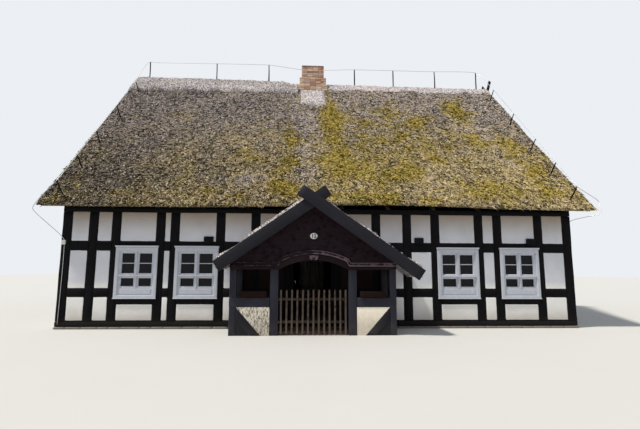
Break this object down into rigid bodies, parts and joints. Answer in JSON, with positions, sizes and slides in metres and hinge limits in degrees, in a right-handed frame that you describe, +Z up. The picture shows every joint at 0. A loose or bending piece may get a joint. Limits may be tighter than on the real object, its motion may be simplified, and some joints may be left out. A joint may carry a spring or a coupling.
{
  "type": "half timbered house",
  "caption": "Thatched half timbered farmhouse with a brick chimney and a gabled porch closed by a picket gate.",
  "frame": {"origin": "on the ground under the middle of the main roof's ridge", "axes": "+X along the ridge to the right as seen from the front, -Y out of the front with the porch, +Z up"},
  "size_m": [15.5155, 12.758, 10.2881],
  "materials": {
    "fieldstone": "rough",
    "clay_brick": "matte",
    "lime_plaster": "matte",
    "white_paint": "painted",
    "window_glass": "clear",
    "thatch": "rough",
    "new_thatch": "rough",
    "chimney_brick": "matte",
    "wire_metal": "dull",
    "white_enamel": "gloss",
    "wrought_iron": "dull",
    "weathered_wood": "weathered",
    "purple_brown_boards": "painted",
    "brown_boards": "painted",
    "inner_wood": "bare",
    "slate_grey_wood": "painted",
    "tarred_timber": "tarred"
  },
  "bodies": {
    "house": {"plinth": "fieldstone", "floor": "clay_brick", "sill_beams": "tarred_timber", "wall_posts": "tarred_timber", "wall_rails": "tarred_timber", "wall_infill": "lime_plaster", "windows": "white_paint", "window_glass": "window_glass", "rail_blocks": "tarred_timber", "door_frame": "brown_boards", "front_door": "brown_boards", "wall_plates": "tarred_timber", "tie_beams": "inner_wood", "ceiling_boards": "inner_wood", "rafters_front": "inner_wood", "rafters_back": "inner_wood", "gable_boards": "brown_boards", "thatch_front": "thatch", "thatch_back": "thatch", "thatch_crown": "thatch", "ridge_caps": "new_thatch", "gable_barge_boards": "tarred_timber", "chimney": "chimney_brick", "conductor_stakes": "weathered_wood", "conductor_wire": "wire_metal", "conductor_box": "white_enamel", "porch_posts": "slate_grey_wood", "porch_plates": "slate_grey_wood", "porch_rafters": "inner_wood", "porch_rails": "slate_grey_wood", "porch_braces": "slate_grey_wood", "porch_panels": "lime_plaster", "porch_lintel": "purple_brown_boards", "porch_gable_boards": "purple_brown_boards", "porch_barge_left": "slate_grey_wood", "porch_barge_right": "slate_grey_wood", "porch_thatch_left": "thatch", "porch_thatch_right": "thatch", "porch_floor": "clay_brick", "flower_boxes": "brown_boards", "number_plate": "white_enamel", "gate_pintles": "wrought_iron"},
    "gate_leaf": {"gate": "weathered_wood", "gate_eyes": "wrought_iron"}
  },
  "joints": [
    {"name": "gate_swing", "type": "hinge", "parent": "house", "child": "gate_leaf", "pos_m": [-1.149, -6.618, 0.6], "axis": [0, 0, -1], "range_deg": [0, 95]}
  ]
}
